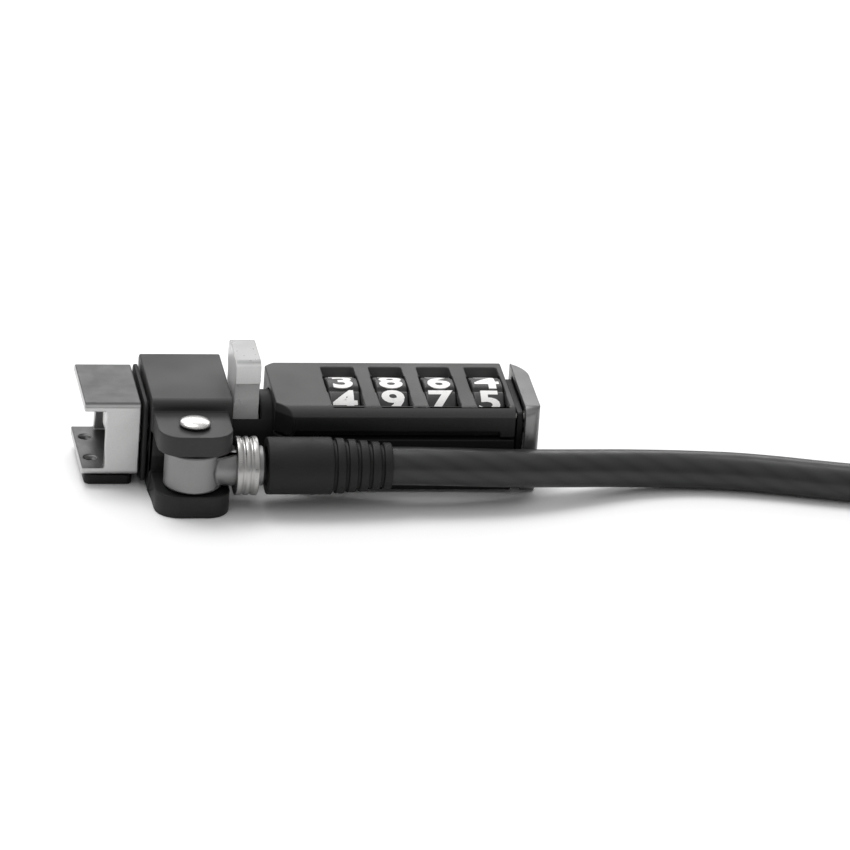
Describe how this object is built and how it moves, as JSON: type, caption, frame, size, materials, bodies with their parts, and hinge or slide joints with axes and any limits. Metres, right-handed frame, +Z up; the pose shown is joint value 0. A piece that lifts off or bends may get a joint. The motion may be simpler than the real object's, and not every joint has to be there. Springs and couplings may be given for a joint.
{
  "type": "laptop cable lock",
  "caption": "Combination cable lock for a laptop: T-bar head with a turn lever, dial body with a push button, pivoting coiled security cable with a loop, and slot bracket.",
  "frame": {"origin": "under the middle of the lock's box without its cable, on the surface it lies on", "axes": "+X along the lock from the slot bracket to the push button, +Y away from the cable, +Z up"},
  "size_m": [0.1817, 0.0736, 0.0196],
  "materials": {
    "zinc": "satin dark grey",
    "black_zinc": "satin black",
    "steel": "bright",
    "silver": "bead-blasted",
    "brass": "turned",
    "dial_black": "moulded",
    "rubber": "matt",
    "jacket": "satin vinyl over a steel cable"
  },
  "bodies": {
    "lock": {"upper_shell": "zinc", "lower_shell": "black_zinc", "end_cap": "black_zinc", "shell_screw_1": "steel", "shell_screw_2": "steel", "end_cap_screw_1": "steel", "end_cap_screw_2": "steel", "axle_tube": "steel", "detent_spring": "steel", "neck_sleeve": "black_zinc", "sleeve_pin_head": "steel", "sleeve_pin_body": "steel", "head_block": "zinc", "pivot_rivet": "steel", "prong_collar": "steel", "face_pad": "rubber"},
    "dial_1": {"dial_1": "dial_black", "code_wheel_1": "brass"},
    "dial_2": {"dial_2": "dial_black", "code_wheel_2": "brass"},
    "dial_3": {"dial_3": "dial_black", "code_wheel_3": "brass"},
    "dial_4": {"dial_4": "dial_black", "code_wheel_4": "brass"},
    "spindle": {"t_bar_spindle": "steel", "turn_lever": "steel", "lever_pin": "steel", "spindle_clip": "steel"},
    "lock_rod": {"lock_rod": "steel", "release_button": "silver", "return_spring": "steel"},
    "bracket": {"slot_bracket": "silver", "bracket_pad": "rubber"},
    "cable": {"cable_eye": "silver", "crimp_ferrule": "steel", "strain_relief": "rubber", "cable_run": "jacket", "cable_coil": "jacket", "cable_end": "jacket", "loop_ferrule": "silver", "end_loop": "jacket"}
  },
  "joints": [
    {"name": "lever_turn", "type": "hinge", "parent": "lock", "child": "spindle", "pos_m": [-0.0081, 0.004, 0.006], "axis": [-1, 0, 0], "range_deg": [0, 90]},
    {"name": "dial_1_turn", "type": "hinge", "parent": "lock", "child": "dial_1", "pos_m": [0.0044, 0.004, 0.006], "axis": [1, 0, 0], "continuous": true},
    {"name": "dial_2_turn", "type": "hinge", "parent": "lock", "child": "dial_2", "pos_m": [0.0105, 0.004, 0.006], "axis": [1, 0, 0], "continuous": true},
    {"name": "dial_3_turn", "type": "hinge", "parent": "lock", "child": "dial_3", "pos_m": [0.0166, 0.004, 0.006], "axis": [1, 0, 0], "continuous": true},
    {"name": "dial_4_turn", "type": "hinge", "parent": "lock", "child": "dial_4", "pos_m": [0.0227, 0.004, 0.006], "axis": [1, 0, 0], "continuous": true},
    {"name": "button_push", "type": "slide", "parent": "lock", "child": "lock_rod", "axis": [1, 0, 0], "range_m": [-0.001, 0], "deforming": ["return_spring"]},
    {"name": "bracket_pull", "type": "slide", "parent": "lock", "child": "bracket", "axis": [-1, 0, 0], "range_m": [0, 0.012]},
    {"name": "cable_pivot", "type": "hinge", "parent": "lock", "child": "cable", "pos_m": [-0.0156, -0.008, 0.0056], "axis": [0, 0, 1], "range_deg": [-180, 0]}
  ]
}
